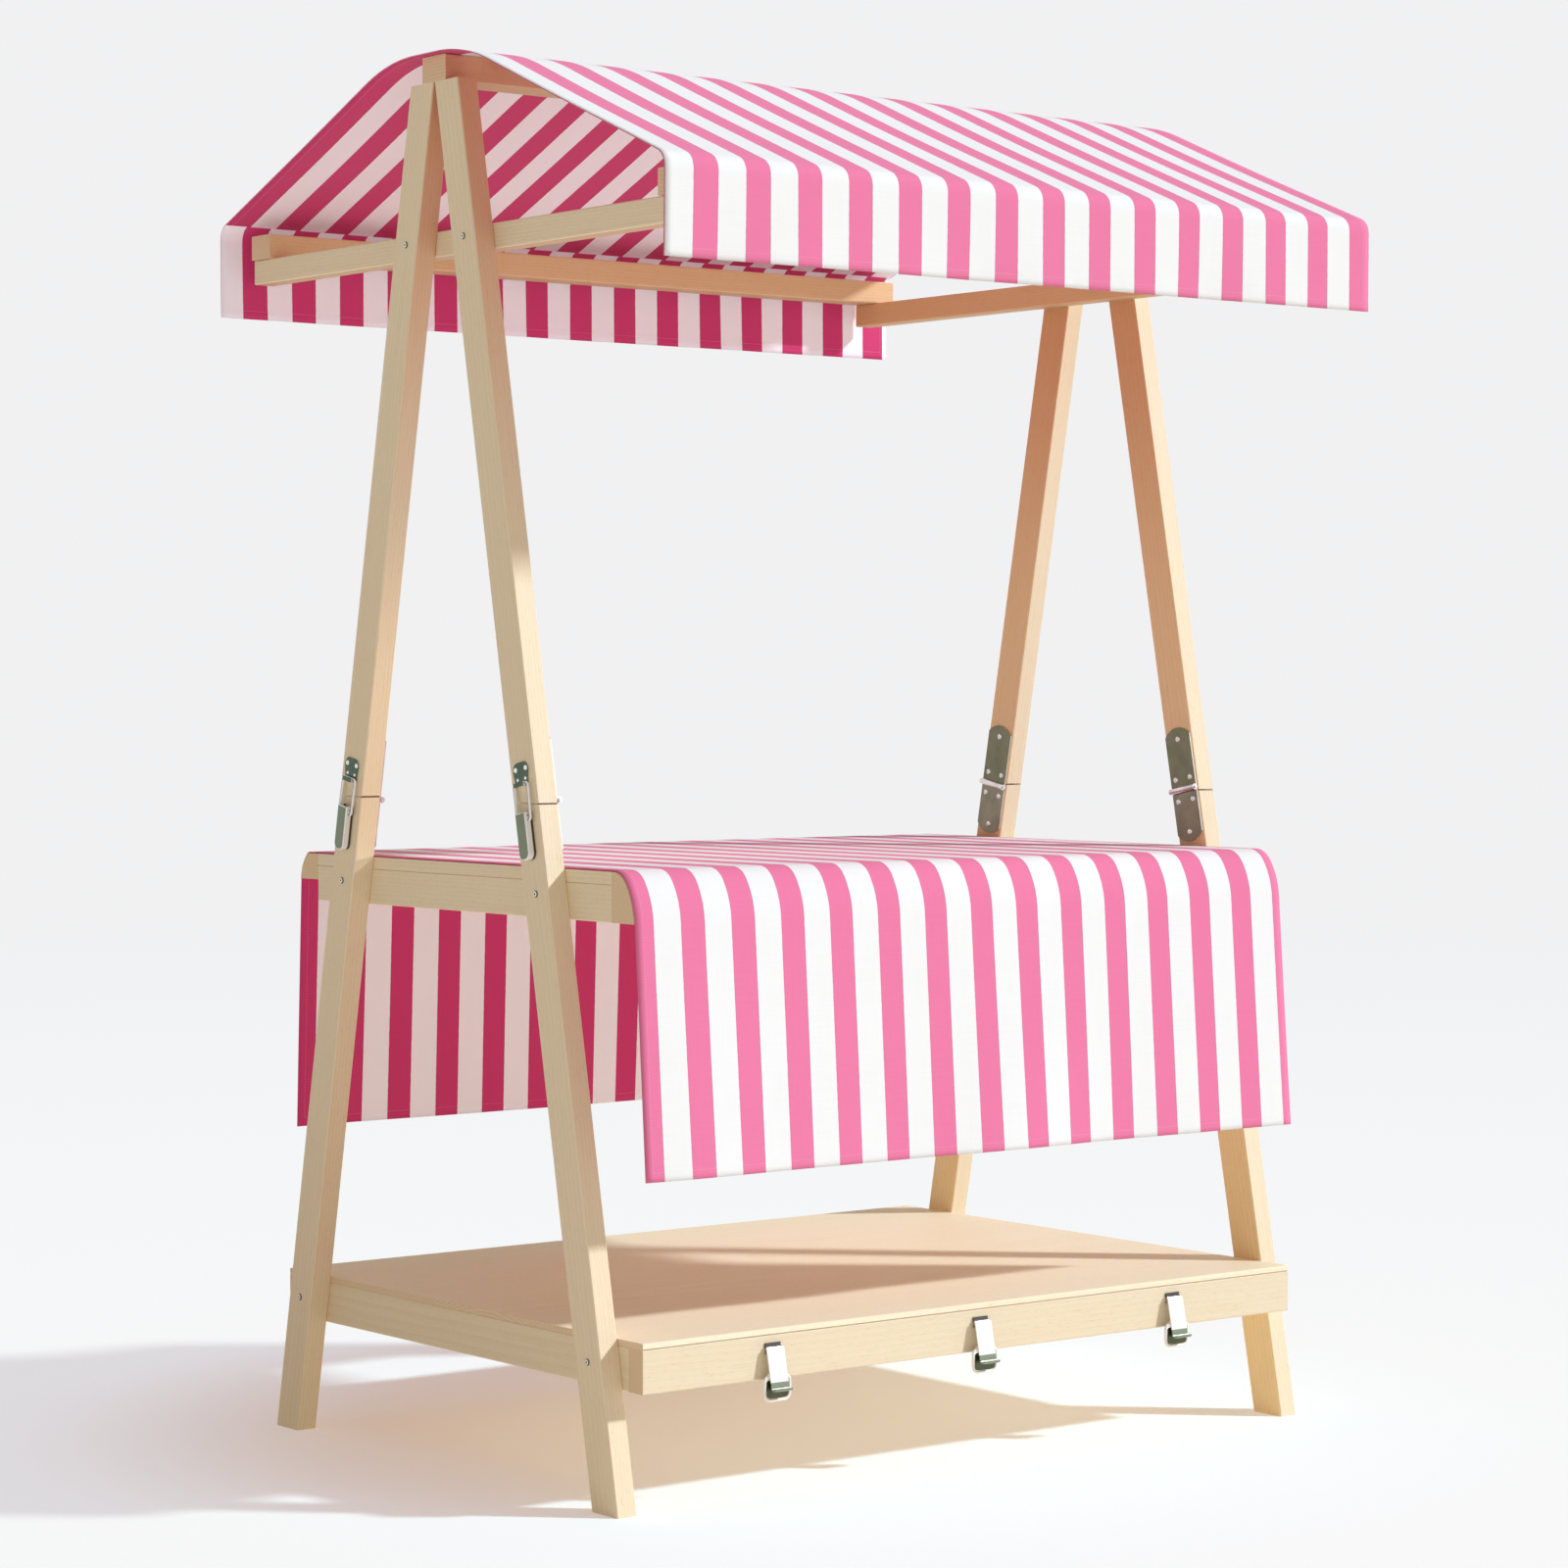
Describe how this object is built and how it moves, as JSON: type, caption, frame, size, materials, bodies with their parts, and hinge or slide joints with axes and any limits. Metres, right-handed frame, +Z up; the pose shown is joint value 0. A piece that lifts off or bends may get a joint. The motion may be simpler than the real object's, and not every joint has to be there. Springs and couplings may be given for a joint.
{
  "type": "wooden market stall",
  "caption": "Open timber market stall: hinged A-frame ends, cloth-covered counter, low shelf with draw latches, and a striped gabled canopy with hanging valances.",
  "frame": {"origin": "on the ground, at the middle of the stall", "axes": "+X along the stall, -Y to the customer's side, +Z up"},
  "size_m": [1.362, 1.19, 2.0903],
  "materials": {
    "frame_wood": "planed pale softwood, bare",
    "board_wood": "planed pale softwood board, bare",
    "canopy_fabric": "pink and white striped woven canvas",
    "counter_fabric": "pink and white striped woven canvas",
    "hinge_steel": "zinc-plated pressed steel",
    "latch_steel": "bright plated pressed steel and wire"
  },
  "bodies": {
    "root": {"canopy_cloth": "canopy_fabric", "counter_board": "board_wood", "counter_cloth": "counter_fabric", "counter_front_rail": "frame_wood", "counter_left_rail": "frame_wood", "counter_rear_rail": "frame_wood", "counter_right_rail": "frame_wood", "front_eave_rail": "frame_wood", "front_left_lower_leg": "frame_wood", "front_left_upper_leg": "frame_wood", "front_right_lower_leg": "frame_wood", "front_right_upper_leg": "frame_wood", "hinge_lower_leaves": "hinge_steel", "hinge_pins": "hinge_steel", "hinge_upper_leaves": "hinge_steel", "latch_bails": "latch_steel", "latch_bases": "latch_steel", "latch_keepers": "latch_steel", "latch_levers": "latch_steel", "left_cross_bar": "frame_wood", "rear_eave_rail": "frame_wood", "rear_left_lower_leg": "frame_wood", "rear_left_upper_leg": "frame_wood", "rear_right_lower_leg": "frame_wood", "rear_right_upper_leg": "frame_wood", "ridge_beam": "frame_wood", "right_cross_bar": "frame_wood", "shelf_board": "board_wood", "shelf_front_rail": "frame_wood", "shelf_latch_bails": "latch_steel", "shelf_latch_bases": "latch_steel", "shelf_latch_levers": "latch_steel", "shelf_left_rail": "frame_wood", "shelf_rear_rail": "frame_wood", "shelf_right_rail": "frame_wood"}
  },
  "joints": []
}
